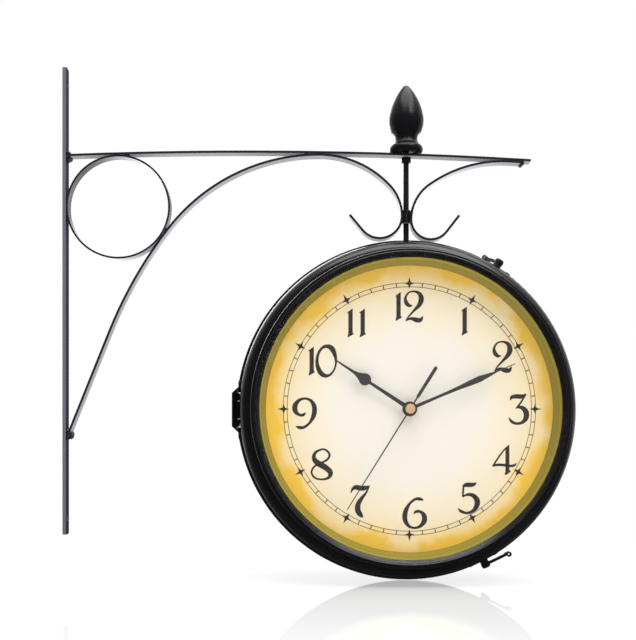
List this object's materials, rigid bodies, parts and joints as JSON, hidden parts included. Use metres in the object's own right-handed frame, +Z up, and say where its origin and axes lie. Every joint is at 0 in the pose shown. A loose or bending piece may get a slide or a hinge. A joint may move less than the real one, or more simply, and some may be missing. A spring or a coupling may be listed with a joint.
{
  "type": "double sided wall clock",
  "caption": "Round station clock with a dial on both sides, hung from a scrolled wall bracket by a swivelling rod; the case opens on a side hinge.",
  "frame": {"origin": "on the wall, at the centre of the wall plate's back face, midway between its two screw holes", "axes": "+X out from the wall, +Z up along the wall plate; -Y is the side the front dial faces"},
  "size_m": [0.37, 0.092, 0.3696],
  "materials": {
    "black_strip": "satin",
    "black_case": "satin",
    "weld_metal": "rough",
    "rod_steel": "satin",
    "zinc_steel": "satin",
    "dial_paper": "matte, printed",
    "trim_gold": "satin",
    "clear_glass": "polished",
    "movement_plastic": "moulded",
    "rubber": "matte",
    "brass": "turned",
    "hand_black": "satin",
    "battery_can": "plain sleeve",
    "knob_plastic": "moulded"
  },
  "bodies": {
    "bracket": {"wall_plate": "black_strip", "arm": "black_strip", "brace_scroll": "black_strip", "tip_scroll": "black_strip", "ring": "black_strip", "rod_guide": "black_strip", "bracket_welds": "weld_metal"},
    "head": {"hanger_rod": "rod_steel", "finial": "black_case", "swivel_nut": "rod_steel", "hanger_clip": "zinc_steel", "clip_nuts": "zinc_steel", "clip_screws": "black_case", "rear_case": "black_case", "rear_bezel": "black_case", "rear_glass": "clear_glass", "rear_dial_trim": "trim_gold", "rear_dial": "dial_paper", "rear_movement": "movement_plastic", "rear_gasket": "rubber", "rear_dial_nut": "brass", "rear_battery": "battery_can", "rear_hinge_leaf": "black_case", "rear_hinge_screws": "zinc_steel", "rear_latch_screws": "zinc_steel", "hinge_pin": "zinc_steel", "upper_catch_plate": "black_case", "lower_catch_plate": "black_case"},
    "door": {"front_case": "black_case", "front_bezel": "black_case", "front_glass": "clear_glass", "front_dial_trim": "trim_gold", "front_dial": "dial_paper", "front_movement": "movement_plastic", "front_gasket": "rubber", "front_dial_nut": "brass", "front_battery": "battery_can", "front_hinge_leaf": "black_case", "front_hinge_screws": "zinc_steel", "front_latch_screws": "zinc_steel", "hook_rivets": "zinc_steel", "upper_pivot_plate": "black_case", "lower_pivot_plate": "black_case"},
    "upper_hook": {"upper_hook": "black_case"},
    "lower_hook": {"lower_hook": "black_case"},
    "front_minute": {"front_minute_hand": "hand_black"},
    "front_hour": {"front_hour_hand": "hand_black"},
    "front_second": {"front_second_hand": "hand_black", "front_hand_cap": "brass"},
    "front_knob": {"front_setting_knob": "knob_plastic"},
    "rear_minute": {"rear_minute_hand": "hand_black"},
    "rear_hour": {"rear_hour_hand": "hand_black"},
    "rear_second": {"rear_second_hand": "hand_black", "rear_hand_cap": "brass"},
    "rear_knob": {"rear_setting_knob": "knob_plastic"}
  },
  "joints": [
    {"name": "head_swivel", "type": "hinge", "parent": "bracket", "child": "head", "pos_m": [0.2475, 0, -0.07858], "axis": [0, 0, 1], "continuous": true},
    {"name": "case_door", "type": "hinge", "parent": "head", "child": "door", "pos_m": [0.1247, 0, -0.07858], "axis": [0, 0, -1], "range_deg": [0, 95]},
    {"name": "upper_hook_swing", "type": "hinge", "parent": "door", "child": "upper_hook", "pos_m": [0.31215, -0.007, 0.02488], "axis": [0.5299, 0, 0.848], "range_deg": [-30, 70]},
    {"name": "lower_hook_swing", "type": "hinge", "parent": "door", "child": "lower_hook", "pos_m": [0.30289, -0.007, -0.18728], "axis": [0.454, 0, -0.891], "range_deg": [-90, 10]},
    {"name": "front_minute_turn", "type": "hinge", "parent": "door", "child": "front_minute", "pos_m": [0.2475, 0, -0.07858], "axis": [0, 1, 0], "continuous": true},
    {"name": "front_hour_turn", "type": "hinge", "parent": "door", "child": "front_hour", "pos_m": [0.2475, 0, -0.07858], "axis": [0, 1, 0], "continuous": true},
    {"name": "front_second_turn", "type": "hinge", "parent": "door", "child": "front_second", "pos_m": [0.2475, 0, -0.07858], "axis": [0, 1, 0], "continuous": true},
    {"name": "front_knob_turn", "type": "hinge", "parent": "door", "child": "front_knob", "pos_m": [0.2335, 0, -0.06858], "axis": [0, 1, 0], "continuous": true},
    {"name": "rear_minute_turn", "type": "hinge", "parent": "head", "child": "rear_minute", "pos_m": [0.2475, 0, -0.07858], "axis": [0, -1, 0], "continuous": true},
    {"name": "rear_hour_turn", "type": "hinge", "parent": "head", "child": "rear_hour", "pos_m": [0.2475, 0, -0.07858], "axis": [0, -1, 0], "continuous": true},
    {"name": "rear_second_turn", "type": "hinge", "parent": "head", "child": "rear_second", "pos_m": [0.2475, 0, -0.07858], "axis": [0, -1, 0], "continuous": true},
    {"name": "rear_knob_turn", "type": "hinge", "parent": "head", "child": "rear_knob", "pos_m": [0.2615, 0, -0.06858], "axis": [0, -1, 0], "continuous": true}
  ],
  "couplings": [
    {"joint": "front_hour_turn", "follows": "front_minute_turn", "ratio": 0.083333},
    {"joint": "front_knob_turn", "follows": "front_minute_turn", "ratio": -1},
    {"joint": "rear_hour_turn", "follows": "rear_minute_turn", "ratio": 0.083333},
    {"joint": "rear_knob_turn", "follows": "rear_minute_turn", "ratio": -1}
  ]
}
